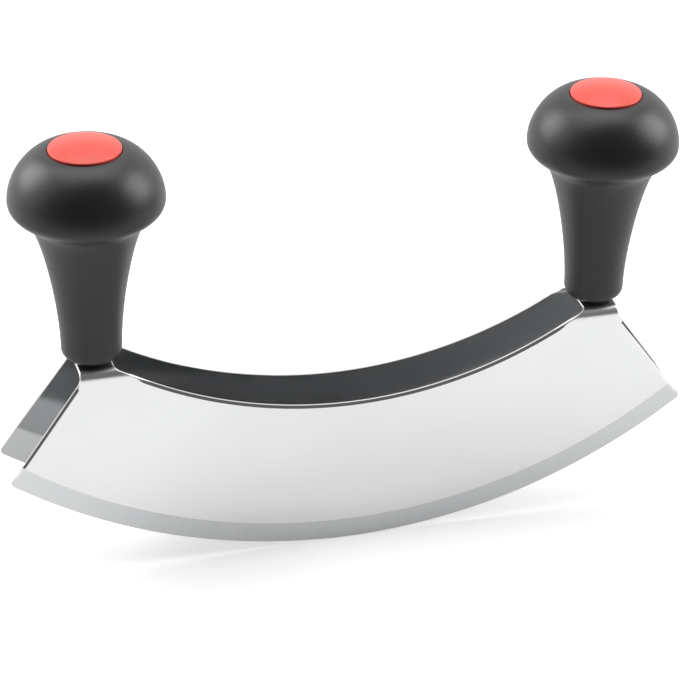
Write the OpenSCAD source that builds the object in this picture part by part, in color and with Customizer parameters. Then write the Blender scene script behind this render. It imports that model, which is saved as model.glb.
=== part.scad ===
// Double-blade mezzaluna: a folded steel sheet with two curved blades and two bolted knob handles.
// Origin: on the board, midway between the lowest points of the two cutting edges.
// +X runs along the blades, +Y from the front blade to the rear one, +Z up.

/* [Blades] */
// Length of the blades, tip to tip
blade_l = 230; // [200:1:260]
// Radius of the curved cutting edge
edge_r = 196.5; // [185:0.5:230]
// Depth of each blade at the middle
blade_d = 51.6; // [46:0.2:54]
// Radius of the curved upper edge between the handles
window_r = 145.5; // [142:0.5:160]
// Height of the bridges above the board
bridge_h = 74.5; // [73:0.5:77]
// Thickness of the steel sheet
sheet_t = 1.2; // [1.0:0.1:1.5]
// Width over the outer faces at the bridges
fold_w = 19.8; // [19:0.2:24]
// Outward lean of each blade
splay = 2.4; // [0.5:0.1:3]
// Outside radius of the folds
fold_r = 3; // [2:0.5:4]
// Width of the ground band on the outer faces
grind_w = 7.6; // [5:0.2:10]
// Thickness left at the cutting edge
edge_t = 0.15; // [0.1:0.05:0.3]
// Angle of the straight ends above the horizontal
end_angle = 54.5; // [52:0.5:56]

/* [Bridges] */
// Distance between the two handle axes
handle_pitch = 170; // [166:1:174]
// Width of each bridge along the blades
bridge_w = 11.6; // [10.4:0.2:12.4]
// Radius between a bridge and the straight end
end_fillet = 5; // [3:0.5:6]

/* [Handles] */
// Height of a knob and its stem above the seal washer
grip_h = 72.8; // [70:0.2:76]
// Diameter of the knob
knob_d = 49.4; // [44:0.2:52]
// Height of the widest part of the knob above the bridge
knob_h = 57.2; // [56:0.2:59]
// Diameter of the stem at its foot
foot_d = 19.6; // [18:0.2:22]
// Diameter of the stem where it meets the knob
neck_d = 37.6; // [34:0.2:39]
// Height of that meeting above the bridge
neck_h = 50.2; // [48:0.1:51]
// Radius round the foot of the stem
foot_round = 3.5; // [2:0.5:4.5]

/* [Caps] */
// Diameter of the cap
cap_d = 23; // [22:0.2:25]
// How far the rim of the cap stands above the knob
cap_lift = 0.6; // [0.1:0.1:0.8]
// Height of the dome of the cap above its rim
cap_dome = 2.2; // [1:0.1:3]
// Depth of the cap's plate in the knob
cap_t = 1.6; // [1.2:0.1:2.4]
// Play between the cap and the knob, at the side
cap_play = 0.15; // [0.1:0.05:0.3]
// Outside diameter of the skirt of the cap
skirt_d = 19.8; // [18.4:0.2:20.2]
// Depth of the skirt
skirt_l = 6.5; // [5:0.5:7]

/* [Fasteners] */
// Length of the bolt under its head
bolt_l = 65; // [60:1:66]
// Height of the nut's seat above the bridge
seat_h = 52; // [48:0.5:54]
// Diameter of the seal washer under the stem
seal_d = 11.4; // [11:0.2:12.6]
// Thickness of the seal washer
seal_t = 1; // [0.6:0.1:1.6]

/* [Hidden] */
$fn = 96;
// Facets of the wide arcs of the blades and of the dome of the cap
edge_fn = 360;
dome_fn = 180;

black = "#2b2b2c";
red = "#e8564c";
steel = "#c9cbcd";
zinc = "#b4b7ba";

// A length past any face, for cuts that run right through
past = 5;

// Blade outline
half_l = blade_l / 2;
tip_z = edge_r - sqrt(edge_r * edge_r - half_l * half_l);
window_z = blade_d + window_r;
bridge_x = handle_pitch / 2;
bridge_out = bridge_x + bridge_w / 2;
bridge_in = bridge_x - bridge_w / 2;
end_slope = tan(end_angle);
corner_z = tip_z + (half_l - bridge_out) * end_slope;

// Folded section
fold_y = fold_w / 2;
fold_steps = 12;
fillet_steps = 6;

// M6 fasteners
bolt_d = 6;
bolt_pitch = 1;
bolt_thread_l = 24;
bolt_thread_depth = 0.55;
// Half width of a thread groove, as part of the pitch
bolt_groove = 0.4;
bolt_head_d = 10.5;
bolt_head_h = 3;
bolt_socket = 4;
bolt_socket_depth = 2;
bolt_hole_d = 6.6;
nut_flats = 10;
nut_h = 5;
nut_bore_d = 6.1;
flat_washer_d = 12;
flat_washer_t = 1.6;
lock_washer_d = 11;
lock_washer_t = 1.6;
washer_bore_d = 6.4;
lock_gap = 0.8;
lock_slant = 20;

// Levels up the handle
foot_z = bridge_h + seal_t;
rim_z = foot_z + grip_h;
seat_z = bridge_h + seat_h;
flat_washer_z = seat_z;
lock_washer_z = flat_washer_z + flat_washer_t;
nut_z = lock_washer_z + lock_washer_t;

// Recess under the cap
recess_play = 0.2;
recess_d = skirt_d + 2 * recess_play;
skirt_t = 1.2;
skirt_slots = 4;
skirt_slot_w = 2;
bead_h = 1.2;
bead_out = 0.3;
groove_h = 1.8;
groove_out = 0.5;

// Fullness of the curves of the grip, as lengths of their control arms
stem_foot_arm = 15.6;
stem_neck_arm = [4.1, 4.1];
under_neck_arm = [2.2, 2.2];
under_knob_arm = 3.7;
over_knob_arm = 7.6;
over_rim_arm = [6.6, -0.8];
curve_steps = 16;
foot_steps = 6;

// Points of an arc about a centre, from angle a0 to angle a1
function arc(centre, r, a0, a1, steps) =
    [for (i = [0 : steps]) let (a = a0 + (a1 - a0) * i / steps) centre + r * [cos(a), sin(a)]];

// Point at t on the cubic curve with ends a and d and control points b and c
function curve_point(a, b, c, d, t) =
    pow(1 - t, 3) * a + 3 * pow(1 - t, 2) * t * b + 3 * (1 - t) * t * t * c + pow(t, 3) * d;

// The curve from a to d, without its last point
function curve(a, b, c, d) =
    [for (i = [0 : curve_steps - 1]) curve_point(a, b, c, d, i / curve_steps)];

// Closed half section of the grip, as radius and height above the bridge
function grip_outline() =
    let (foot = [foot_d / 2, seal_t + foot_round],
        neck = [neck_d / 2, neck_h],
        knob = [knob_d / 2, knob_h],
        rim = [cap_d / 2 + cap_play, seal_t + grip_h],
        heel = [foot_d / 2 - foot_round, foot[1]],
        last = -90 / foot_steps)
    concat(
        [[0, seal_t]],
        arc(heel, foot_round, -90, last, foot_steps - 1),
        curve(foot, foot + [0, stem_foot_arm], neck - stem_neck_arm, neck),
        curve(neck, neck + under_neck_arm, knob - [0, under_knob_arm], knob),
        curve(knob, knob + [0, over_knob_arm], rim + over_rim_arm, rim),
        [rim, [0, rim[1]]]
    );

function reversed(points) = [for (i = [len(points) - 1 : -1 : 0]) points[i]];

function mirrored(points) = [for (p = points) [-p[0], p[1]]];

// Rear half of the folded section in Y and Z, from the bottom up, inset from the outer faces
function fold_half(inset) =
    let (r = fold_r - inset,
        centre = [fold_y - fold_r * (1 - sin(splay)) / cos(splay), bridge_h - fold_r],
        side = centre + r * [cos(splay), sin(splay)])
    concat(
        [[side[0] + (side[1] + past) * tan(splay), -past]],
        arc(centre, r, splay, 90, fold_steps)
    );

module fold_section() {
    polygon(concat(
        fold_half(0),
        reversed(mirrored(fold_half(0))),
        mirrored(fold_half(sheet_t)),
        reversed(fold_half(sheet_t))
    ));
}

// Right half of the side view in X and Z, from the bottom up
function side_half() =
    let (turn = 90 - end_angle,
        reach = end_fillet * tan(turn / 2),
        centre = [bridge_out + end_fillet, corner_z + reach])
    concat(
        [[half_l + (tip_z + past) / end_slope, -past]],
        arc(centre, end_fillet, 180 + turn, 180, fillet_steps),
        [[bridge_out, bridge_h + past]]
    );

module side_outline() {
    difference() {
        polygon(concat(side_half(), reversed(mirrored(side_half()))));
        translate([0, window_z])
            circle(r = window_r, $fn = edge_fn);
        translate([-bridge_in, bridge_h - sheet_t])
            square([2 * bridge_in, sheet_t + past]);
    }
}

// What the grinding leaves of one blade: a wide disc with a shallow cone on its outer side
module ground_disc() {
    cone_h = sheet_t - edge_t;
    slope = grind_w / cone_h;
    translate([0, 0, -past])
        cylinder(h = past + edge_t, r = edge_r, $fn = edge_fn);
    translate([0, 0, edge_t])
        cylinder(h = cone_h + past, r1 = edge_r, r2 = edge_r - slope * (cone_h + past), $fn = edge_fn);
}

// Everything below and outside the ground edge of the rear blade
module edge_waste() {
    lean = fold_y - sheet_t / cos(splay) + bridge_h * tan(splay);
    difference() {
        translate([-blade_l, past, -3 * past])
            cube([2 * blade_l, 2 * fold_w, bridge_h]);
        translate([0, lean, 0])
            rotate([splay, 0, 0])
                translate([0, 0, edge_r])
                    rotate([-90, 0, 0])
                        ground_disc();
    }
}

module double_blade() {
    color(steel)
        difference() {
            intersection() {
                rotate([90, 0, 90])
                    linear_extrude(height = blade_l + 2 * past, center = true)
                        fold_section();
                rotate([90, 0, 0])
                    linear_extrude(height = 4 * fold_w, center = true)
                        side_outline();
            }
            for (s = [0, 1])
                mirror([0, s, 0])
                    edge_waste();
            for (x = [-bridge_x, bridge_x])
                translate([x, 0, bridge_h - fold_r])
                    cylinder(h = 2 * fold_r, d = bolt_hole_d);
        }
}

module grip() {
    color(black)
        difference() {
            translate([0, 0, bridge_h])
                rotate_extrude()
                    polygon(grip_outline());
            translate([0, 0, bridge_h])
                cylinder(h = grip_h, d = bolt_hole_d);
            translate([0, 0, seat_z])
                cylinder(h = grip_h, d = recess_d);
            translate([0, 0, rim_z - cap_t])
                cylinder(h = cap_t + past, d = cap_d + 2 * cap_play);
            translate([0, 0, rim_z - cap_t - skirt_l + bead_h / 2 - groove_h / 2])
                cylinder(h = groove_h, d = recess_d + 2 * groove_out);
        }
}

// Plate of the cap with a shallow dome over its rim, the knob's rim at height 0
module cap_top() {
    r = cap_d / 2;
    dome_r = (r * r + cap_dome * cap_dome) / (2 * cap_dome);
    translate([0, 0, -cap_t])
        cylinder(h = cap_t + cap_lift, d = cap_d);
    intersection() {
        translate([0, 0, cap_lift + cap_dome - dome_r])
            sphere(r = dome_r, $fn = dome_fn);
        translate([0, 0, -cap_t])
            cylinder(h = cap_t + cap_dome + past, d = cap_d);
    }
}

module cap() {
    color(red)
        translate([0, 0, rim_z])
            union() {
                cap_top();
                translate([0, 0, -cap_t - skirt_l])
                    difference() {
                        union() {
                            cylinder(h = skirt_l + cap_t / 2, d = skirt_d);
                            cylinder(h = bead_h, d = skirt_d + 2 * bead_out);
                        }
                        translate([0, 0, -past])
                            cylinder(h = skirt_l + past, d = skirt_d - 2 * skirt_t);
                        for (i = [0 : skirt_slots / 2 - 1])
                            rotate([0, 0, 180 * i / (skirt_slots / 2)])
                                translate([-skirt_d, -skirt_slot_w / 2, -past])
                                    cube([2 * skirt_d, skirt_slot_w, skirt_l + past - skirt_t]);
                    }
            }
}

// Flat ring standing on the XY plane
module ring(od, id, h) {
    difference() {
        cylinder(h = h, d = od);
        translate([0, 0, -past])
            cylinder(h = h + 2 * past, d = id);
    }
}

module seal_washer() {
    color(black)
        translate([0, 0, bridge_h])
            ring(seal_d, washer_bore_d, seal_t);
}

module flat_washer() {
    color(zinc)
        translate([0, 0, flat_washer_z])
            ring(flat_washer_d, washer_bore_d, flat_washer_t);
}

module lock_washer() {
    color(zinc)
        translate([0, 0, lock_washer_z])
            difference() {
                ring(lock_washer_d, washer_bore_d, lock_washer_t);
                translate([lock_washer_d / 2, 0, lock_washer_t / 2])
                    rotate([lock_slant, 0, 0])
                        cube([lock_washer_d, lock_gap, 4 * lock_washer_t], center = true);
            }
}

module nut() {
    corner_d = nut_flats / cos(30);
    chamfer_h = (corner_d - nut_flats) / 2 * tan(30);
    color(zinc)
        translate([0, 0, nut_z])
            difference() {
                intersection() {
                    cylinder(h = nut_h, d = corner_d, $fn = 6);
                    rotate_extrude()
                        polygon([
                            [0, 0],
                            [nut_flats / 2, 0],
                            [corner_d / 2, chamfer_h],
                            [corner_d / 2, nut_h - chamfer_h],
                            [nut_flats / 2, nut_h],
                            [0, nut_h]
                        ]);
                }
                translate([0, 0, -past])
                    cylinder(h = nut_h + 2 * past, d = nut_bore_d);
            }
}

// Half section of the threaded rod, with a V groove at each turn of the thread
function rod_outline() =
    let (r = bolt_d / 2, turns = bolt_thread_l / bolt_pitch, start = bolt_l - bolt_thread_l)
    concat(
        [[0, 0], [r, 0]],
        [for (i = [0 : turns - 1], k = [-1 : 1])
            let (depth = k == 0 ? bolt_thread_depth : 0)
            [r - depth, start + (i + 1 / 2 + k * bolt_groove) * bolt_pitch]],
        [[r - bolt_thread_depth, bolt_l], [0, bolt_l]]
    );

module bolt() {
    head_r = bolt_head_d / 2;
    dome_r = (head_r * head_r + bolt_head_h * bolt_head_h) / (2 * bolt_head_h);
    color(zinc)
        translate([0, 0, bridge_h - sheet_t])
            difference() {
                union() {
                    rotate_extrude()
                        polygon(rod_outline());
                    intersection() {
                        translate([0, 0, dome_r - bolt_head_h])
                            sphere(r = dome_r);
                        translate([0, 0, -bolt_head_h])
                            cylinder(h = bolt_head_h, d = bolt_head_d);
                    }
                }
                translate([0, 0, -bolt_head_h - past])
                    cylinder(h = bolt_socket_depth + past, d = bolt_socket / cos(30), $fn = 6);
            }
}

// Places a handle part on the left bridge (-1) or the right one (1)
module at_bridge(side) {
    translate([side * bridge_x, 0, 0])
        children();
}

double_blade();
at_bridge(-1) grip();  // left_grip
at_bridge(1) grip();  // right_grip
at_bridge(-1) cap();  // left_cap
at_bridge(1) cap();  // right_cap
at_bridge(-1) seal_washer();  // left_seal_washer
at_bridge(1) seal_washer();  // right_seal_washer
at_bridge(-1) bolt();  // left_bolt
at_bridge(1) bolt();  // right_bolt
at_bridge(-1) flat_washer();  // left_flat_washer
at_bridge(1) flat_washer();  // right_flat_washer
at_bridge(-1) lock_washer();  // left_lock_washer
at_bridge(1) lock_washer();  // right_lock_washer
at_bridge(-1) nut();  // left_nut
at_bridge(1) nut();  // right_nut
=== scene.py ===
import math

import bmesh
import bpy
import numpy as np
from mathutils import Euler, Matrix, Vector


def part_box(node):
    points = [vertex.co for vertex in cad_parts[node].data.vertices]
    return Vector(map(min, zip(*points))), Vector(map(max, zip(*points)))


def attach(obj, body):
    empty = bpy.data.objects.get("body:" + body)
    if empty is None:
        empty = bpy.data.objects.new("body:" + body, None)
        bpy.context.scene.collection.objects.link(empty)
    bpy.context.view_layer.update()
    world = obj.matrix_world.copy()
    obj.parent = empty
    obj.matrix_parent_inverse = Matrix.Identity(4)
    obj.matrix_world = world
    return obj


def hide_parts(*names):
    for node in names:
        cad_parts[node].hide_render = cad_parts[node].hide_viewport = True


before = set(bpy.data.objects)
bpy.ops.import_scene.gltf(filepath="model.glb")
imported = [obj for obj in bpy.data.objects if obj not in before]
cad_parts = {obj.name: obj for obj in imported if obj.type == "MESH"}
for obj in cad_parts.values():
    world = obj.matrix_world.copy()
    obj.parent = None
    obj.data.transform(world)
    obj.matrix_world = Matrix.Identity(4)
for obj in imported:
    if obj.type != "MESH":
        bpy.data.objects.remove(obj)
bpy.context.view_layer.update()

mm = 0.001
degree = math.pi / 180


# Shader sums: a Wire is a socket that can stand in a Python expression
class Wire:
    def __init__(self, bench, socket):
        self.bench = bench
        self.socket = socket

    def sum(self, operation, first, second=0.0):
        return self.bench.node("ShaderNodeMath", {"operation": operation}, {0: first, 1: second})

    def __add__(self, other):
        return self.sum("ADD", self, other)

    def __radd__(self, other):
        return self.sum("ADD", other, self)

    def __sub__(self, other):
        return self.sum("SUBTRACT", self, other)

    def __rsub__(self, other):
        return self.sum("SUBTRACT", other, self)

    def __mul__(self, other):
        return self.sum("MULTIPLY", self, other)

    def __truediv__(self, other):
        return self.sum("DIVIDE", self, other)

    def atLeast(self, other):
        return self.sum("MAXIMUM", self, other)

    def atMost(self, other):
        return self.sum("MINIMUM", self, other)

    def size(self):
        return self.sum("ABSOLUTE", self)

    def root(self):
        return self.sum("SQRT", self)

    def turn(self, other):
        return self.sum("ARCTAN2", self, other)

    # 0 at low, 1 at high, with a soft step between them; both count from the base
    def step(self, low, high, base=0.0):
        return self.bench.node("ShaderNodeMapRange", {"interpolation_type": "SMOOTHSTEP"},
                               {"Value": self, "From Min": base + low, "From Max": base + high})


# A bench makes the nodes of one material or of the world
class Bench:
    def __init__(self, tree):
        self.tree = tree
        tree.nodes.clear()

    # settings go on first, then each socket gets its value or its link
    def node(self, kind, settings=None, sockets=None, output=0):
        made = self.tree.nodes.new(kind)
        for name, value in (settings or {}).items():
            setattr(made, name, value)
        for name, value in (sockets or {}).items():
            if isinstance(value, Wire):
                self.tree.links.new(value.socket, made.inputs[name])
            else:
                made.inputs[name].default_value = value
        return Wire(self, made.outputs[output]) if len(made.outputs) else None

    # Place on the object in millimetres
    def place(self):
        spot = self.node("ShaderNodeTexCoord", output="Object")
        return self.node("ShaderNodeVectorMath", {"operation": "SCALE"}, {0: spot, "Scale": 1 / mm})

    def parts(self, vector):
        first = self.node("ShaderNodeSeparateXYZ", None, {0: vector})
        return [Wire(self, output) for output in first.socket.node.outputs]

    def stretch(self, vector, scale):
        return self.node("ShaderNodeVectorMath", {"operation": "MULTIPLY"}, {0: vector, 1: scale})

    def vector(self, x, y, z):
        return self.node("ShaderNodeCombineXYZ", None, {0: x, 1: y, 2: z})

    def noise(self, vector, scale, detail=2.0, roughness=0.5):
        return self.node("ShaderNodeTexNoise", {"noise_dimensions": "3D"},
                         {"Vector": vector, "Scale": scale, "Detail": detail, "Roughness": roughness})

    def mixColour(self, factor, first, second):
        return self.node("ShaderNodeMix", {"data_type": "RGBA"}, {0: factor, 6: first, 7: second}, output=2)

    def bump(self, height, distance, under=None):
        sockets = {"Height": height, "Distance": distance}
        if under is not None:
            sockets["Normal"] = under
        return self.node("ShaderNodeBump", None, sockets)

    # 1 for each ray of these kinds
    def raysOf(self, *kinds):
        path = self.tree.nodes.new("ShaderNodeLightPath")
        total = 0.0
        for kind in kinds:
            total = Wire(self, path.outputs["Is " + kind + " Ray"]) + total
        return total.atMost(1.0)

    def surface(self, sockets):
        shader = self.node("ShaderNodeBsdfPrincipled", None, sockets)
        self.node("ShaderNodeOutputMaterial", None, {"Surface": shader})


def newFinish(name):
    finish = bpy.data.materials.new(name)
    finish.use_nodes = True
    return finish, Bench(finish.node_tree)


# Meshes: patches are grids of points, joined where their rims meet
def meshFrom(name, patches, weld=0.004 * mm, sharpAngle=35 * degree):
    points, faces, start = [], [], 0
    for patch in patches:
        rows, columns = patch.shape[:2]
        index = start + np.arange(rows * columns).reshape(rows, columns)
        around = [index[:-1, :-1], index[:-1, 1:], index[1:, 1:], index[1:, :-1]]
        faces.append(np.stack(around, -1).reshape(-1, 4))
        points.append(patch.reshape(-1, 3))
        start += rows * columns
    mesh = bpy.data.meshes.new(name)
    mesh.from_pydata(np.concatenate(points).tolist(), [], np.concatenate(faces).tolist())
    work = bmesh.new()
    work.from_mesh(mesh)
    bmesh.ops.remove_doubles(work, verts=work.verts, dist=weld)
    bmesh.ops.recalc_face_normals(work, faces=work.faces)
    work.to_mesh(mesh)
    work.free()
    mesh.shade_smooth()
    mesh.set_sharp_from_angle(angle=sharpAngle)
    piece = bpy.data.objects.new(name, mesh)
    bpy.context.scene.collection.objects.link(piece)
    return piece


def addPiece(name, patches, finish, node):
    piece = meshFrom(name, patches)
    piece.data.materials.append(finish)
    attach(piece, "root")
    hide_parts(node)
    return piece


# Profile of (radius, height) points turned about the upright line through (x, 0)
def lathe(profile, x, steps):
    turn = np.linspace(0, 2 * math.pi, steps + 1)
    turn[-1] = 0
    radius = profile[:, :1]
    level = np.repeat(profile[:, 1:], steps + 1, axis=1)
    return np.stack([x + radius * np.cos(turn), radius * np.sin(turn), level], -1)


# Cubic curve with ends a and d and control points b and c, both ends included
def cubic(a, b, c, d, steps):
    t = np.linspace(0, 1, steps + 1)[:, None]
    return (1 - t) ** 3 * a + 3 * (1 - t) ** 2 * t * b + 3 * (1 - t) * t * t * c + t ** 3 * d


# Points on a circle from one angle to another, in degrees
def arc(centre, radius, fromAngle, toAngle, steps):
    turn = np.linspace(fromAngle, toAngle, steps + 1) * degree
    return np.asarray(centre) + radius * np.stack([np.cos(turn), np.sin(turn)], -1)


# Joins runs of points and drops those that repeat
def chain(*runs, apart=0.005 * mm):
    points = np.concatenate([np.atleast_2d(np.asarray(run, float)) for run in runs])
    keep = np.ones(len(points), bool)
    keep[1:] = np.hypot(*(points[1:] - points[:-1]).T) > apart
    return points[keep]


# Camera at the photograph's angle

camera = {
    "lens": 145.76,
    "sensor": 36,
    "place": (-0.223685, -0.775836, 0.530836),
    "turn": (60.0274, -0.8637, -15.6455),
}


def addCamera():
    made = bpy.data.objects.new("camera", bpy.data.cameras.new("camera"))
    made.data.lens = camera["lens"]
    made.data.sensor_width = camera["sensor"]
    made.location = camera["place"]
    made.rotation_euler = Euler([angle * degree for angle in camera["turn"]], "XYZ")
    bpy.context.scene.collection.objects.link(made)
    bpy.context.scene.camera = made


addCamera()
print("camera ready")


# The folded sheet with its two blades

sheet = {
    "thick": 1.2 * mm,
    "top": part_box("double_blade")[1][2],
    "halfLength": 115 * mm,
    "width": 19.8 * mm,
    "foldRadius": 3 * mm,
    "splay": 2.4 * degree,
    "edgeRadius": 196.5 * mm,
    "depth": 51.6 * mm,
    "windowRadius": 145.5 * mm,
    "windowFillet": 3.5 * mm,
    "bridgeX": 85 * mm,
    "bridgeWidth": 11.6 * mm,
    "endAngle": 54.5 * degree,
    "endFillet": 5 * mm,
    "tipRadius": 1.6 * mm,
    "grindWidth": 7.6 * mm,
    "edgeThick": 0.15 * mm,
    "holeRadius": 3.3 * mm,
    "rollWidth": 1.1 * mm,      # rims softened on the outer skin by the polishing
    "windowDrop": 0.4 * mm,
    "endDrop": 0.5 * mm,
    "bridgeRound": 0.5 * mm,
    "innerRoll": 0.15 * mm,
    "rimFade": 3 * mm,          # below a fold, where the outer rims turn from round to sloped
    "joinBelow": 0.3 * mm,      # under the hollow corner, where a blade ends and its strips start
    "seamStep": 0.25 * mm,      # between a fold and the rows beside it
    "ringHalf": 5.6 * mm,       # from the middle of a bridge to its strips

    # points side by side in the grids, both ends included
    "windowPoints": 131,        # along a blade, under the window
    "bladePoints": 25,          # up a blade, from the ground band to its top
    "stripPoints": 6,           # across a bridge, between its rims
    "seamPoints": 4,            # on either side of a fold
    "foldPoints": 19,           # round a fold
    "middlePoints": 15,         # along a side of a bridge's middle part
    "ringPoints": 6,            # from there in to the bolt hole
    "wallPoints": 4,            # through the sheet

    # looks; a pair is where a change starts and where it ends, in millimetres
    "bandTop": (-0.1, 0.02),            # the satin ends about the top of the ground band,
    "bandDepth": (1.08, 1.14),          # at this depth, before the inner skin,
    "bandEnd": (0.3, 1.0),              # and this far from the end of the blade
    "innerDepth": (0.6, 1.1),           # where the outer face's look turns into the inner one's
    "axisFade": (-0.05, 0.05),          # about the height of the folds' axes
    "foldFade": (-1.5, 0.5),            # about the top of the flat side
    "waveScale": (0.011, 0.02, 0.03),
    "waveDepth": 0.35 * mm,
    "markScale": (0.06, 1.6, 3.5),
    "markDepth": 0.0006 * mm,
    "strokeScale": (4.0, 0.12, 0.3),    # along the edge, up the band, through the blade
    "strokeDepth": 0.012 * mm,
    "smudgeScale": 0.035,
    "smudgeFade": (0.35, 0.7),          # in values of its noise
    "polished": 0.035,                  # roughness, and what each of the next four adds to it
    "smudgeDulls": 0.02,
    "marksDull": 0.02,
    "foldDulls": 0.28,
    "innerDulls": 0.04,
    "satin": 0.27,                      # roughness of the band, and what its strokes add to it
    "strokesDull": 0.12,
    "cleanColour": (0.79, 0.795, 0.80, 1),
    "smudgeColour": (0.83, 0.835, 0.84, 1),
    # painted shade: the inner faces are darker, standing for the shade between the two blades
    "innerColour": (0.50, 0.505, 0.51, 1),
    "strokeLow": (0.62, 0.63, 0.64, 1),
    "strokeHigh": (0.80, 0.81, 0.815, 1),
}
hair = 0.001 * mm       # less than any step between two points

# Rows or columns this far from a rim show its rounding
rimSteps = np.array([0, 0.03, 0.08, 0.15, 0.25, 0.36, 0.5, 0.7, 0.9, 1.02, 1.1, 1.2]) * mm
# Rows this far from the cutting edge show the round tips and the ground band
groundSteps = np.array([0, 0.15, 0.4, 0.7, 1, 1.3, 2, 3.2, 4.6, 6, 7, 7.45, 7.6, 7.75, 8.2]) * mm


# Way across the outer skin from the middle of a bridge, for a height on the blade, and the other way
def acrossAt(s, z):
    return s["foldEnd"] + (s["sideTop"] - z) / math.cos(s["splay"])


def flatHeight(s, across):
    return s["sideTop"] - (np.abs(across) - s["foldEnd"]) * math.cos(s["splay"])


# Fixed lines of the sheet, worked out from its sizes
def sheetLines(s):
    lean, turn = s["splay"], math.pi / 2 - s["endAngle"]
    s["foldStart"] = s["width"] / 2 - s["foldRadius"] * (1 - math.sin(lean)) / math.cos(lean)
    s["foldCentre"] = s["top"] - s["foldRadius"]
    s["foldTurn"] = math.pi / 2 - lean
    s["foldEnd"] = s["foldStart"] + s["foldRadius"] * s["foldTurn"]
    s["sideTop"] = s["foldCentre"] + s["foldRadius"] * math.sin(lean)
    s["edgeAcross"] = acrossAt(s, s["thick"] * math.sin(lean))
    s["windowZ"] = s["depth"] + s["windowRadius"]
    s["bridgeIn"] = s["bridgeX"] - s["bridgeWidth"] / 2
    s["bridgeOut"] = s["bridgeX"] + s["bridgeWidth"] / 2
    s["tipZ"] = s["edgeRadius"] - math.sqrt(s["edgeRadius"] ** 2 - s["halfLength"] ** 2)
    corner = s["tipZ"] + (s["halfLength"] - s["bridgeOut"]) * math.tan(s["endAngle"])
    s["endTurn"] = turn
    s["endCentre"] = (s["bridgeOut"] + s["endFillet"], corner + s["endFillet"] * math.tan(turn / 2))
    inX = s["bridgeIn"] - s["windowFillet"]
    inReach = s["windowRadius"] - s["windowFillet"]
    s["inCentre"] = (inX, s["windowZ"] - math.sqrt(inReach ** 2 - inX ** 2))
    s["inTurn"] = math.atan2(s["windowZ"] - s["inCentre"][1], inX)
    s["joinZ"] = s["endCentre"][1] - s["endFillet"] * math.sin(turn) - s["joinBelow"]
    s["joinAcross"] = acrossAt(s, s["joinZ"])


# Flat top, round bend and leaning side in one: the normal turns with the way past the fold's start,
# and a point lies depth under the outer skin. The sign of across picks the rear blade or the front one
def foldUp(s, x, across, depth):
    way = np.abs(across)
    turn = np.clip((way - s["foldStart"]) / s["foldRadius"], 0, s["foldTurn"])
    slide = np.maximum(way - s["foldEnd"], 0)
    radius = s["foldRadius"] - depth
    y = np.minimum(way, s["foldStart"]) + radius * np.sin(turn) + slide * math.sin(s["splay"])
    z = s["foldCentre"] + radius * np.cos(turn) - slide * math.cos(s["splay"])
    return np.stack([x + 0 * y, np.sign(across) * y, z], -1)


# Distance from the end line, which turns up the bridge round a hollow corner
def endDistance(s, x, z):
    line = (s["halfLength"] - x) * math.sin(s["endAngle"]) - (z - s["tipZ"]) * math.cos(s["endAngle"])
    cx, cz = s["endCentre"]
    turn = np.arctan2(cz - z, cx - x)
    inCorner = (turn > 0) & (turn < s["endTurn"])
    corner = np.hypot(x - cx, z - cz) - s["endFillet"]
    return np.where(inCorner, corner, np.maximum(s["bridgeOut"] - x, line))


# Distance from the window between the bridges, which has a hollow corner at each bridge
def windowDistance(s, x, z):
    ring = np.hypot(x, s["windowZ"] - z) - s["windowRadius"]
    cx, cz = s["inCentre"]
    turn = np.arctan2(cz - z, x - cx)
    inCorner = (turn > 0) & (turn < s["inTurn"])
    corner = np.hypot(x - cx, z - cz) - s["windowFillet"]
    return np.where(inCorner, corner, np.maximum(ring, x - s["bridgeIn"]))


# Distance from the cutting edge, in the blade's own plane
def cutDistance(s, x, across):
    return s["edgeRadius"] - np.hypot(x, s["edgeRadius"] - s["edgeAcross"] + np.abs(across))


# Both drop a rim by their whole size and nothing beyond their width: one as a slightly hollow slope,
# the way left raised to a power, and one as a quarter of a circle
def slopeDrop(distance, width, drop, power=1.3):
    return drop * np.clip(1 - distance / width, 0, 1) ** power


def roundDrop(distance, radius):
    return radius * (1 - np.sqrt(1 - np.clip(1 - distance / radius, 0, 1) ** 2))


# Depth of the outer skin, cut back by the ground band and the soft rims, and of the inner skin. The
# rims are round on the bridges and fade into slopes on the flat blades
def skinDepths(s, x, across):
    away, z = np.abs(x), flatHeight(s, across)
    end, window = endDistance(s, away, z), windowDistance(s, away, z)
    part = np.clip(1 - cutDistance(s, away, across) / s["grindWidth"], 0, 1)
    ground = (s["thick"] - s["edgeThick"]) * part
    rim = np.minimum(end, window)
    slope = np.maximum(slopeDrop(end, s["rollWidth"], s["endDrop"]),
                       slopeDrop(window, s["rollWidth"], s["windowDrop"]))
    soft = roundDrop(rim, s["bridgeRound"])
    soft = soft + (slope - soft) * np.clip((np.abs(across) - s["foldEnd"]) / s["rimFade"], 0, 1)
    outer = ground + soft * (1 - ground / s["thick"])
    return outer, s["thick"] - roundDrop(rim, s["innerRoll"])


# Inner and outer line of a bridge strip at the flat height z. Going up, the inner one is the window's
# circle and the outer one the straight end, then both follow their hollow corner and run upright
def stripIn(s, z):
    cx, cz = s["inCentre"]
    ring = np.sqrt(np.maximum(s["windowRadius"] ** 2 - (s["windowZ"] - z) ** 2, 0))
    bend = cx + np.sqrt(np.maximum(s["windowFillet"] ** 2 - (z - cz) ** 2, 0))
    below = z < cz - s["windowFillet"] * math.sin(s["inTurn"])
    return np.select([below, z < cz], [ring, bend], s["bridgeIn"])


def stripOut(s, z):
    cx, cz = s["endCentre"]
    line = s["halfLength"] - (z - s["tipZ"]) / math.tan(s["endAngle"])
    bend = cx - np.sqrt(np.maximum(s["endFillet"] ** 2 - (z - cz) ** 2, 0))
    below = z < cz - s["endFillet"] * math.sin(s["endTurn"])
    return np.select([below, z < cz], [line, bend], s["bridgeOut"])


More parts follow.
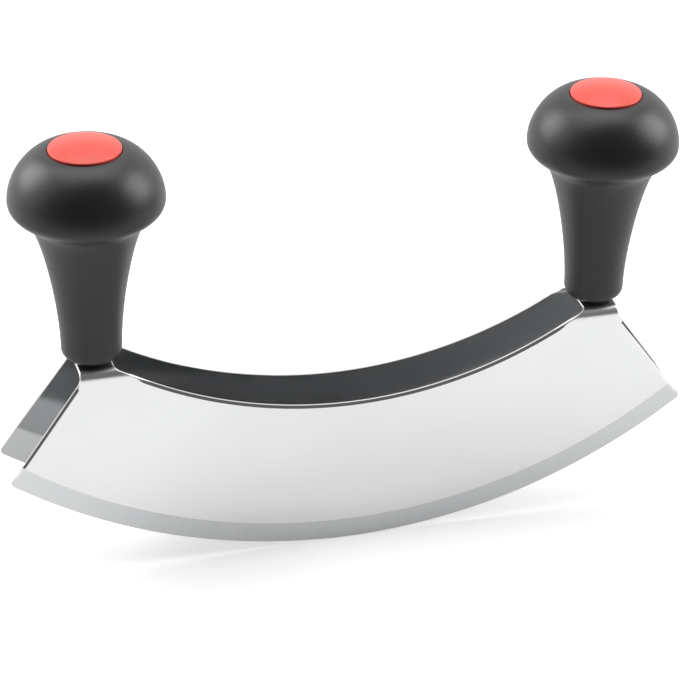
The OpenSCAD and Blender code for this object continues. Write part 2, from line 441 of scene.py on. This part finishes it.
# Fractions from 0 to 1 that crowd at both rims of a strip
def crowded(width, inside):
    near = rimSteps / width
    middle = np.linspace(near[-1], 1 - near[-1], inside + 2)[1:-1]
    return np.concatenate([near, middle, (1 - near)[::-1]])


# Moves points near a tip from the square corner to a round one: in the corner square, a point's
# way from the square's inner corner is shortened as a square is pressed into a circle
def roundTip(s, x, across):
    end = endDistance(s, np.abs(x), flatHeight(s, across))
    cut = cutDistance(s, x, across)
    i, j = s["tipRadius"] - end, s["tipRadius"] - cut
    inTip = (i > 0) & (j > 0)
    length = np.where(inTip, np.hypot(i, j), 1)
    shrink = np.where(inTip, 1 - np.maximum(i, j) / length, 0)
    slope = math.asin(s["halfLength"] / s["edgeRadius"])
    moveX = -i * shrink * math.sin(s["endAngle"]) - j * shrink * math.sin(slope)
    moveAcross = i * shrink * math.cos(s["endAngle"]) - j * shrink * math.cos(slope)
    return x + np.sign(x) * moveX, across + np.sign(across) * moveAcross


# One blade as a grid from its right end to its left: rows follow the cutting edge, then run straight
# up to the window, and columns over a bridge keep level with the end line
def bladeGrid(s, share, side):
    joinIn, joinOut = (float(line(s, s["joinZ"])) for line in (stripIn, stripOut))
    fan = np.linspace(1, -1, s["windowPoints"])[1:-1]
    topX = joinOut - (joinOut - joinIn) * share
    fanTurn = math.asin(joinIn / s["windowRadius"]) * fan
    topX = np.concatenate([topX, s["windowRadius"] * np.sin(fanTurn), -topX[::-1]])
    inWindow = np.abs(topX) < joinIn - hair
    ring = s["windowZ"] - np.sqrt(s["windowRadius"] ** 2 - np.minimum(np.abs(topX), joinIn) ** 2)
    top = np.stack([topX, acrossAt(s, np.where(inWindow, ring, s["joinZ"]))], -1)

    tipTurn = np.arctan2(s["halfLength"] - groundSteps * math.cos(s["endAngle"]),
                         s["edgeRadius"] - s["tipZ"] - groundSteps * math.sin(s["endAngle"]))[:, None]
    overBridge = tipTurn - (joinOut - joinIn) * math.sin(s["endAngle"]) * share / s["edgeRadius"]
    turn = np.concatenate([overBridge, overBridge[:, -1:] * fan, -overBridge[:, ::-1]], axis=1)
    radius = (s["edgeRadius"] - groundSteps)[:, None]
    low = np.stack([radius * np.sin(turn), s["edgeAcross"] - s["edgeRadius"] + radius * np.cos(turn)], -1)

    length = np.hypot(*(top - low[-1]).T)
    rise = np.linspace(0, 1, s["bladePoints"])[1:-1, None] * (1 - rimSteps[-1] / length)
    rise = np.concatenate([rise, 1 - rimSteps[::-1, None] / length])[:, :, None]
    flat = np.concatenate([low, low[-1] + (top - low[-1]) * rise])
    return flat[:, :, 0], flat[:, :, 1] * side


# The strip from the blade over the fold to the middle part of the bridge
def stripGrid(s, share, side, end):
    way = np.concatenate([
        np.linspace(s["joinAcross"], s["foldEnd"] + s["seamStep"], s["seamPoints"]),
        np.linspace(s["foldEnd"], s["foldStart"], s["foldPoints"]),
        np.linspace(s["foldStart"] - s["seamStep"], s["ringHalf"], s["seamPoints"])])[:, None]
    outer, inner = stripOut(s, flatHeight(s, way)), stripIn(s, flatHeight(s, way))
    return end * (outer - (outer - inner) * share), side * way + 0 * share


# The middle part of the bridge: rings from its rim in to the bolt hole
def ringGrid(s, share, end):
    rows = np.linspace(1, -1, s["middlePoints"])
    across = np.concatenate([1 + 0 * share, rows[1:-1], -1 + 0 * share, -rows[1:-1], [1]])
    across = s["ringHalf"] * across
    x = np.concatenate([share, 1 + 0 * rows[1:-1], share[::-1], 0 * rows[1:-1], [0]])
    x = s["bridgeWidth"] * (0.5 - x)
    way = np.hypot(x, across)
    near = rimSteps / (s["bridgeWidth"] / 2 - s["holeRadius"])
    inward = np.concatenate([near, np.linspace(near[-1], 1, s["ringPoints"])[1:]])[:, None]
    scale = 1 + inward * (s["holeRadius"] / way - 1)
    return end * (s["bridgeX"] + x * scale), across * scale


# Straight wall from the outer skin to the inner one, along one rim of a patch
def rimWall(s, x, across, outer, inner):
    part = np.linspace(0, 1, s["wallPoints"])[:, None]
    return foldUp(s, x, across, outer + (inner - outer) * part)


# All grids of the sheet. A wall closes each rim that the next grid doesn't meet
def sheetPatches(s):
    share = crowded(s["bridgeWidth"], s["stripPoints"])
    strip = len(share)
    patches = []

    # both skins of a grid; what it gives back walls one of the grid's rims
    def addSkins(x, across, moved=None):
        outer, inner = skinDepths(s, x, across)
        if moved is not None:
            x, across = moved
        patches.extend([foldUp(s, x, across, outer), foldUp(s, x, across, inner)])
        return lambda cut: patches.append(rimWall(s, x[cut], across[cut], outer[cut], inner[cut]))

    for side in (-1, 1):
        x, across = bladeGrid(s, share, side)
        addWall = addSkins(x, across, roundTip(s, x, across))
        addWall(np.s_[0, :])
        addWall(np.s_[:, 0])
        addWall(np.s_[:, -1])
        addWall(np.s_[-1, strip - 1:x.shape[1] - strip + 1])
        for end in (-1, 1):
            addWall = addSkins(*stripGrid(s, share, side, end))
            addWall(np.s_[:, 0])
            addWall(np.s_[:, -1])
    # where the window's rim and the end's rim start in a ring
    inRim = strip - 1
    outRim = 2 * strip + s["middlePoints"] - 3
    for end in (-1, 1):
        addWall = addSkins(*ringGrid(s, share, end))
        addWall(np.s_[-1, :])
        addWall(np.s_[0, inRim:inRim + s["middlePoints"]])
        addWall(np.s_[0, outRim:])
    return patches


# Makes the line at the top of the ground band a sharp crease: the edges whose ends are both on the
# outer skin and one band's width from the cutting edge
def creaseGroundLine(piece, s, near=0.02 * mm):
    mesh = piece.data
    spots = np.empty(len(mesh.vertices) * 3)
    mesh.vertices.foreach_get("co", spots)
    x, y, z = spots.reshape(-1, 3).T
    slide = (s["sideTop"] - z) / math.cos(s["splay"])
    onSkin = np.abs(s["width"] / 2 + (s["top"] - z) * math.tan(s["splay"]) - np.abs(y)) < near
    onLine = np.abs(cutDistance(s, x, s["foldEnd"] + slide) - s["grindWidth"]) < near
    ends = np.empty(len(mesh.edges) * 2, np.int32)
    mesh.edges.foreach_get("vertices", ends)
    marked = (onSkin & onLine)[ends.reshape(-1, 2)].all(axis=1)
    sharp = np.empty(len(mesh.edges), bool)
    mesh.edges.foreach_get("use_edge_sharp", sharp)
    mesh.edges.foreach_set("use_edge_sharp", sharp | marked)


# Depth of a point under the outer skin: its way in from the leaning side or, above the axis of the
# fold, the fold's radius less its way from that axis
def skinDepth(s, y, z):
    sideY = s["width"] / 2 / mm + (s["top"] / mm - z) * math.tan(s["splay"])
    sideDepth = sideY - y.size()
    overY = (y.size() - s["foldStart"] / mm).atLeast(0)
    overZ = z - s["foldCentre"] / mm
    foldDepth = s["foldRadius"] / mm - (overY * overY + overZ * overZ).root()
    return sideDepth + (foldDepth - sideDepth) * overZ.step(*s["axisFade"])


# Polished stainless steel: mirror faces with slow waves from the polishing belt and fine marks along
# the blade, duller folds, duller inner faces painted darker as shade between the blades, and a satin
# band at the edge whose grinding marks run across it. The band lies by the way from the cutting edge's
# circle, on the outer skin only
def bladeFinish(s):
    finish, bench = newFinish("polishedBladeSteel")
    spot = bench.place()
    x, y, z = bench.parts(spot)
    rise = s["edgeRadius"] / mm - z / math.cos(s["splay"])
    cut = s["edgeRadius"] / mm - (x * x + rise * rise).root()
    along = x.turn(rise) * (s["edgeRadius"] / mm)
    under = skinDepth(s, y, z)
    fromEnd = (s["halfLength"] / mm - x.size()) * math.sin(s["endAngle"])
    fromEnd = fromEnd - (z - s["tipZ"] / mm) * math.cos(s["endAngle"])
    ground = 1 - cut.step(*s["bandTop"], base=s["grindWidth"] / mm)
    ground = ground * (1 - under.step(*s["bandDepth"])) * fromEnd.step(*s["bandEnd"])

    waves = bench.noise(bench.stretch(spot, s["waveScale"]), 1.0, detail=1.0)
    marks = bench.noise(bench.stretch(spot, s["markScale"]), 1.0, detail=4.0, roughness=0.6)
    smudge = bench.noise(spot, s["smudgeScale"], detail=3.0)
    strokeSpot = bench.stretch(bench.vector(along, cut, y), s["strokeScale"])
    stroke = bench.noise(strokeSpot, 1.0, detail=3.0, roughness=0.7)

    inside = under.step(*s["innerDepth"])
    bent = z.step(*s["foldFade"], base=s["sideTop"] / mm)
    polished = s["polished"] + smudge.step(*s["smudgeFade"]) * s["smudgeDulls"]
    polished = polished + marks * s["marksDull"] + bent * s["foldDulls"]
    polished = polished + inside * s["innerDulls"]
    satin = s["satin"] + stroke * s["strokesDull"]
    roughness = polished + (satin - polished) * ground
    steel = bench.mixColour(smudge, s["cleanColour"], s["smudgeColour"])
    # painted shade on the inner faces, between the blades
    steel = bench.mixColour(inside, steel, s["innerColour"])
    worked = bench.mixColour(stroke, s["strokeLow"], s["strokeHigh"])
    colour = bench.mixColour(ground, steel, worked)
    skin = bench.bump(waves, s["waveDepth"])
    skin = bench.bump(marks * (1 - ground), s["markDepth"], skin)
    skin = bench.bump(stroke * ground, s["strokeDepth"], skin)
    bench.surface({"Base Color": colour, "Metallic": 1.0, "Roughness": roughness, "Normal": skin})
    return finish


def addBlades():
    sheetLines(sheet)
    patches = sheetPatches(sheet)
    finish = bladeFinish(sheet)
    piece = addPiece("double_blade_steel", patches, finish, "double_blade")
    creaseGroundLine(piece, sheet)


addBlades()
print("blades ready")


# The two grips, each a knob and its stem in one moulding

bridgeTop = sheet["top"]
grip = {
    "footRadius": 9.8 * mm,
    "footRound": 3.5 * mm,
    "neckRadius": 18.8 * mm,
    "neckHeight": 50.2 * mm,
    "knobHeight": 57.2 * mm,
    "rimRound": 0.25 * mm,
    "stemFootArm": (0, 15.6 * mm),
    "stemNeckArm": (4.1 * mm, 4.1 * mm),
    "underNeckArm": (2.2 * mm, 2.2 * mm),
    "underKnobArm": (0, 3.7 * mm),
    "overKnobArm": (0, 7.6 * mm),
    "overRimArm": (6.6 * mm, -0.8 * mm),
    "holeRadius": 3.3 * mm,
    "seatHeight": 52 * mm,
    "recessRadius": 10.1 * mm,
    "plateRadius": 11.65 * mm,
    "plateDepth": 1.6 * mm,
    "grooveOut": 0.5 * mm,
    "grooveHeight": 1.8 * mm,
    "grooveMiddle": 7.5 * mm,   # below the rim
    "steps": 160,
    "grainScale": 2.4,
    "grainDepth": 0.035 * mm,
    "patchScale": 0.09,
    "patchLow": (0.010, 0.010, 0.011, 1),
    "patchHigh": (0.017, 0.017, 0.018, 1),
    "wornHeight": (118.0, 146.0),       # in millimetres above the board
    "roughness": 0.36,
    "patchesDull": 0.05,
    "grainDulls": 0.05,
    "wearShines": 0.04,
}


# Closed half section, up the outside and down through the recess and the bolt hole. The outside is a
# round foot and three cubic curves: the stem, the hollow under the knob and the top of the knob
def gripProfile(g, low, high, knobRadius):
    def level(point):
        return np.array([point[0], bridgeTop + point[1]])

    foot = np.array([g["footRadius"], low + g["footRound"]])
    neck = level((g["neckRadius"], g["neckHeight"]))
    knob = level((knobRadius, g["knobHeight"]))
    rim = np.array([g["plateRadius"] + g["rimRound"], high])
    seat = bridgeTop + g["seatHeight"]
    ledge = high - g["plateDepth"]
    grooveLow = high - g["grooveMiddle"] - g["grooveHeight"] / 2
    grooveHigh = grooveLow + g["grooveHeight"]
    return chain(
        [g["holeRadius"], low],
        arc((g["footRadius"] - g["footRound"], low + g["footRound"]), g["footRound"], -90, 0, steps=10),
        cubic(foot, foot + g["stemFootArm"], neck - g["stemNeckArm"], neck, steps=40),
        cubic(neck, neck + g["underNeckArm"], knob - g["underKnobArm"], knob, steps=24),
        cubic(knob, knob + g["overKnobArm"], rim + g["overRimArm"], rim, steps=48),
        arc((rim[0], high - g["rimRound"]), g["rimRound"], 90, 180, steps=5),
        [[g["plateRadius"], ledge], [g["recessRadius"], ledge]],
        [[g["recessRadius"], grooveHigh], [g["recessRadius"] + g["grooveOut"], grooveHigh]],
        [[g["recessRadius"] + g["grooveOut"], grooveLow], [g["recessRadius"], grooveLow]],
        [[g["recessRadius"], seat], [g["holeRadius"], seat], [g["holeRadius"], low]])


# Black moulded plastic with the fine grain of an eroded mould, rubbed smoother on top by the palm
def gripFinish(g):
    finish, bench = newFinish("blackMouldedPlastic")
    spot = bench.place()
    grain = bench.noise(spot, g["grainScale"], detail=3.0, roughness=0.6)
    patches = bench.noise(spot, g["patchScale"], detail=3.0)
    worn = bench.parts(spot)[2].step(*g["wornHeight"])
    colour = bench.mixColour(patches, g["patchLow"], g["patchHigh"])
    roughness = g["roughness"] + patches * g["patchesDull"] + grain * g["grainDulls"]
    roughness = roughness - worn * g["wearShines"]
    skin = bench.bump(grain, g["grainDepth"])
    bench.surface({"Base Color": colour, "Roughness": roughness, "IOR": 1.5, "Normal": skin})
    return finish


def addGrips():
    finish = gripFinish(grip)
    for name in ("left_grip", "right_grip"):
        low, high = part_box(name)
        middle, radius = (low[0] + high[0]) / 2, (high[0] - low[0]) / 2
        profile = gripProfile(grip, low[2], high[2], radius)
        patches = [lathe(profile, middle, grip["steps"])]
        addPiece(name + "_moulding", patches, finish, name)


addGrips()
print("grips ready")


# The red caps: a domed plate with four snap fingers under it

cap = {
    "radius": 11.5 * mm,
    "lift": 0.6 * mm,
    "dome": 2.2 * mm,
    "domeShare": 0.96,          # of the dome's arc, up to the round rim
    "plateDepth": 1.6 * mm,
    "rimRound": 0.3 * mm,
    "fingerOut": 9.9 * mm,
    "fingerThick": 1.2 * mm,
    "fingerLength": 6.5 * mm,
    "beadHeight": 1.2 * mm,
    "beadOut": 0.3 * mm,
    "beadSlant": (0.2 * mm, 0.3 * mm),
    "slotWidth": 2 * mm,
    "fingerPoints": 19,
    "steps": 128,
    "cloudScale": 0.22,
    "cloudLow": (0.86, 0.082, 0.055, 1),
    "cloudHigh": (0.93, 0.105, 0.075, 1),
    # painted shade: a deeper red on the wall round the plate, where the cap meets the grip
    "gapShadeColour": (0.75, 0.045, 0.03, 1),
    "gapShadeFade": (-0.2, -0.05),  # in millimetres, from the cap's radius
    "rimFade": (0.1, 0.35),     # and up from the rim of the grip
    "grainScale": 4.0,
    "grainDepth": 0.008 * mm,
    "roughness": 0.3,
    "cloudDulls": 0.06,
}


# Plate from the middle of its underside, round its rim and over the dome to the middle
def capProfile(c, rim):
    domeRadius = (c["radius"] ** 2 + c["dome"] ** 2) / (2 * c["dome"])
    centre = rim + c["lift"] + c["dome"] - domeRadius
    slope = math.asin(c["radius"] / domeRadius) / degree
    inside = c["radius"] - c["rimRound"]
    shoulder = centre + math.sqrt((domeRadius - c["rimRound"]) ** 2 - inside ** 2)
    tilt = math.asin(inside / (domeRadius - c["rimRound"])) / degree
    low = rim - c["plateDepth"]
    return chain(
        [[0, low], [inside, low]],
        arc((inside, low + c["rimRound"]), c["rimRound"], -90, 0, steps=4),
        arc((inside, shoulder), c["rimRound"], 0, 90 - tilt, steps=8),
        arc((0, centre), domeRadius, 90 - slope * c["domeShare"], 90, steps=30))


# One finger: its section carried along a quarter turn less the slot
def fingerPatches(c, rim, x, quarter):
    high = rim - c["plateDepth"] / 2
    low = rim - c["plateDepth"] - c["fingerLength"]
    out, bead = c["fingerOut"], c["fingerOut"] + c["beadOut"]
    back = out - c["fingerThick"]
    slantOut, slantUp = c["beadSlant"]
    section = np.array([
        [back, low], [bead - slantOut, low], [bead, low + slantUp],
        [bead, low + c["beadHeight"] - slantUp], [out, low + c["beadHeight"]],
        [out, high], [back, high], [back, low]])
    gap = math.asin(c["slotWidth"] / 2 / out)
    turn = np.linspace(gap, math.pi / 2 - gap, c["fingerPoints"]) + quarter * math.pi / 2
    radius, level = section[:, :1], section[:, 1:]
    body = np.stack([x + radius * np.cos(turn), radius * np.sin(turn), level + 0 * turn], -1)
    middle = np.repeat(body.mean(axis=0, keepdims=True), len(section), axis=0)
    return [body, np.stack([body[:, 0], middle[:, 0]], 1), np.stack([middle[:, -1], body[:, -1]], 1)]


# Way from the upright middle line of the nearer handle: the root of both squares
def handleReach(x, y):
    away = x.size() - sheet["bridgeX"] / mm
    return (away * away + y * y).root()


# Coral red plastic with a satin skin and faint clouds, and painted shade: a deeper red on the wall round
# the plate, down by the rim of the grip where the gap shades it
def capFinish(c, rim):
    finish, bench = newFinish("coralRedPlastic")
    spot = bench.place()
    x, y, z = bench.parts(spot)
    cloud = bench.noise(spot, c["cloudScale"], detail=3.0)
    grain = bench.noise(spot, c["grainScale"], detail=2.0)
    # painted shade: deeper red on the cap's wall, fading out above the grip's rim
    wall = handleReach(x, y).step(*c["gapShadeFade"], base=c["radius"] / mm)
    wall = wall * (1 - z.step(*c["rimFade"], base=rim / mm))
    red = bench.mixColour(cloud, c["cloudLow"], c["cloudHigh"])
    red = bench.mixColour(wall, red, c["gapShadeColour"])
    roughness = c["roughness"] + cloud * c["cloudDulls"]
    skin = bench.bump(grain, c["grainDepth"])
    bench.surface({"Base Color": red, "Roughness": roughness, "IOR": 1.5, "Normal": skin})
    return finish


def addCaps():
    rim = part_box("left_grip")[1][2]
    finish = capFinish(cap, rim)
    for side in ("left", "right"):
        low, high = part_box(side + "_cap")
        middle = (low[0] + high[0]) / 2
        patches = [lathe(capProfile(cap, rim), middle, cap["steps"])]
        for quarter in range(4):
            patches += fingerPatches(cap, rim, middle, quarter)
        addPiece(side + "_cap_plug", patches, finish, side + "_cap")


addCaps()
print("caps ready")


# Rubber seal washers between the stems and the bridges. Their black is partly painted shade: it also
# stands for the shade and the stems' reflection on the bridges under the stems

seal = {
    "bore": 3.2 * mm,
    "edgeRound": 0.3 * mm,
    "steps": 96,
    "bloomScale": 0.8,
    "bloomDepth": 0.03 * mm,
    "bloomLow": (0.010, 0.010, 0.010, 1),
    "bloomHigh": (0.022, 0.022, 0.022, 1),
    "roughness": 0.6,
    "bloomDulls": 0.15,
}


# Closed half section with both outer edges round
def sealProfile(low, high, radius):
    r = seal["edgeRound"]
    return chain(
        [seal["bore"], low], [radius - r, low],
        arc((radius - r, low + r), r, -90, 0, steps=5),
        arc((radius - r, high - r), r, 0, 90, steps=5),
        [seal["bore"], high], [seal["bore"], low])


# Black rubber with a pale bloom; the black is partly painted shade under the stems
def sealFinish():
    finish, bench = newFinish("blackSealRubberAndShade")
    bloom = bench.noise(bench.place(), seal["bloomScale"], detail=4.0, roughness=0.65)
    colour = bench.mixColour(bloom, seal["bloomLow"], seal["bloomHigh"])
    roughness = seal["roughness"] + bloom * seal["bloomDulls"]
    skin = bench.bump(bloom, seal["bloomDepth"])
    bench.surface({"Base Color": colour, "Roughness": roughness, "Normal": skin})
    return finish


def addSeals():
    finish = sealFinish()
    for name in ("left_seal_washer", "right_seal_washer"):
        low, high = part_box(name)
        middle, radius = (low[0] + high[0]) / 2, (high[0] - low[0]) / 2
        patches = [lathe(sealProfile(low[2], high[2], radius), middle, seal["steps"])]
        addPiece(name + "_rubber", patches, finish, name)


addSeals()
print("seals ready")


# Stainless bolts, washers and nuts keep their CAD shape and get a turned or pressed finish

fastener = {
    "ringScale": 5.0,           # of the marks, outwards from the axis
    "risingScale": 1.5,         # and upwards
    "speckScale": 1.4,
    "speckLow": (0.56, 0.565, 0.57, 1),
    "speckHigh": (0.70, 0.705, 0.71, 1),
    "depth": 0.01 * mm,
    "roughness": 0.22,
    "ringsDull": 0.14,
    "specksDull": 0.08,
}


# Noise over the way from the handle's axis makes rings. They are wider and mixed with specks on
# pieces that are pressed more than turned
def fastenerFinish(name, turned):
    finish, bench = newFinish(name)
    spot = bench.place()
    x, y, z = bench.parts(spot)
    reach = handleReach(x, y) * fastener["ringScale"] * turned
    rings = bench.noise(bench.vector(reach, z * fastener["risingScale"], 0.0), 1.0, detail=3.0)
    speck = bench.noise(spot, fastener["speckScale"], detail=4.0)
    colour = bench.mixColour(speck, fastener["speckLow"], fastener["speckHigh"])
    roughness = fastener["roughness"] + rings * fastener["ringsDull"] + speck * fastener["specksDull"]
    skin = bench.bump(rings + speck * (1 - turned), fastener["depth"])
    bench.surface({"Base Color": colour, "Metallic": 1.0, "Roughness": roughness, "Normal": skin})
    return finish


def dressFasteners():
    turned = fastenerFinish("turnedStainless", turned=1.0)
    pressed = fastenerFinish("pressedStainless", turned=0.4)
    for name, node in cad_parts.items():
        kind = name.split("_", 1)[1]
        if kind in ("bolt", "nut", "flat_washer", "lock_washer"):
            node.data.materials.clear()
            node.data.materials.append(turned if kind in ("bolt", "nut") else pressed)


dressFasteners()
print("fasteners dressed")


# Table, tent and soft boxes

studio = {
    "tableX": 1.6,
    "tableFront": -0.45,
    "tableBack": 2.6,
    "tableColour": (0.90, 0.90, 0.90, 1),
    "glowSeen": 0.38,           # added for the camera
    "glowMirrored": 0.05,       # added in the steel
    "tentBright": 1.15,
    "tentDim": 0.13,            # towards the photographer
    "tentLift": 0.3,
    "tentWrap": 0.35,
    "tentTurn": (0.05, 0.45),
    "tentDaylight": 0.45,       # share of it that lights matt surfaces
    "boxes": [
        # place, aim, width, height, power
        ((-0.95, 0.75, 0.75), (0, 0, 0.12), 0.8, 0.9, 10.5),
        ((1.15, -0.10, 0.70), (0, 0, 0.12), 0.8, 0.9, 10.5),
        ((0, 0.25, 1.45), (0, 0, 0.05), 1.4, 1.1, 9),
    ],
}


def addTable():
    x, front, back = studio["tableX"], studio["tableFront"], studio["tableBack"]
    mesh = bpy.data.meshes.new("table")
    mesh.from_pydata([(-x, front, 0), (x, front, 0), (x, back, 0), (-x, back, 0)], [], [(0, 1, 2, 3)])
    table = bpy.data.objects.new("table", mesh)
    bpy.context.scene.collection.objects.link(table)
    finish, bench = newFinish("paleTable")
    glow = bench.raysOf("Camera") * studio["glowSeen"] + bench.raysOf("Glossy") * studio["glowMirrored"]
    matt = bench.node("ShaderNodeBsdfDiffuse", None, {"Color": studio["tableColour"]})
    lit = bench.node("ShaderNodeEmission", None, {"Strength": glow})
    both = bench.node("ShaderNodeAddShader", None, {0: matt, 1: lit})
    bench.node("ShaderNodeOutputMaterial", None, {"Surface": both})
    mesh.materials.append(finish)


# White to the camera. For all else bright behind the object, above it and beside it, and dim towards
# the photographer: the level turns with the way back plus a part of the way up and to the side
def addTent():
    world = bpy.data.worlds.new("tent")
    bpy.context.scene.world = world
    world.use_nodes = True
    bench = Bench(world.node_tree)
    x, y, z = bench.parts(bench.node("ShaderNodeTexCoord", output="Generated"))
    back = (y + z * studio["tentLift"] + x.size() * studio["tentWrap"]).step(*studio["tentTurn"])
    level = studio["tentDim"] + back * (studio["tentBright"] - studio["tentDim"])
    mirrored = bench.raysOf("Glossy", "Transmission")
    level = level * (studio["tentDaylight"] + mirrored * (1 - studio["tentDaylight"]))
    strength = level + bench.raysOf("Camera") * (1 - level)
    plain = bench.node("ShaderNodeBackground", None, {"Color": (1, 1, 1, 1), "Strength": strength})
    bench.node("ShaderNodeOutputWorld", None, {"Surface": plain})


def addBoxes():
    for number, (place, aim, width, height, power) in enumerate(studio["boxes"]):
        light = bpy.data.lights.new("softBox%d" % number, "AREA")
        light.shape = "RECTANGLE"
        light.size = width
        light.size_y = height
        light.energy = power
        lamp = bpy.data.objects.new(light.name, light)
        lamp.location = place
        lamp.rotation_euler = (Vector(aim) - Vector(place)).to_track_quat("-Z", "Y").to_euler()
        bpy.context.scene.collection.objects.link(lamp)


addTable()
addTent()
addBoxes()
bpy.context.scene.view_settings.view_transform = "Standard"
print("studio ready")
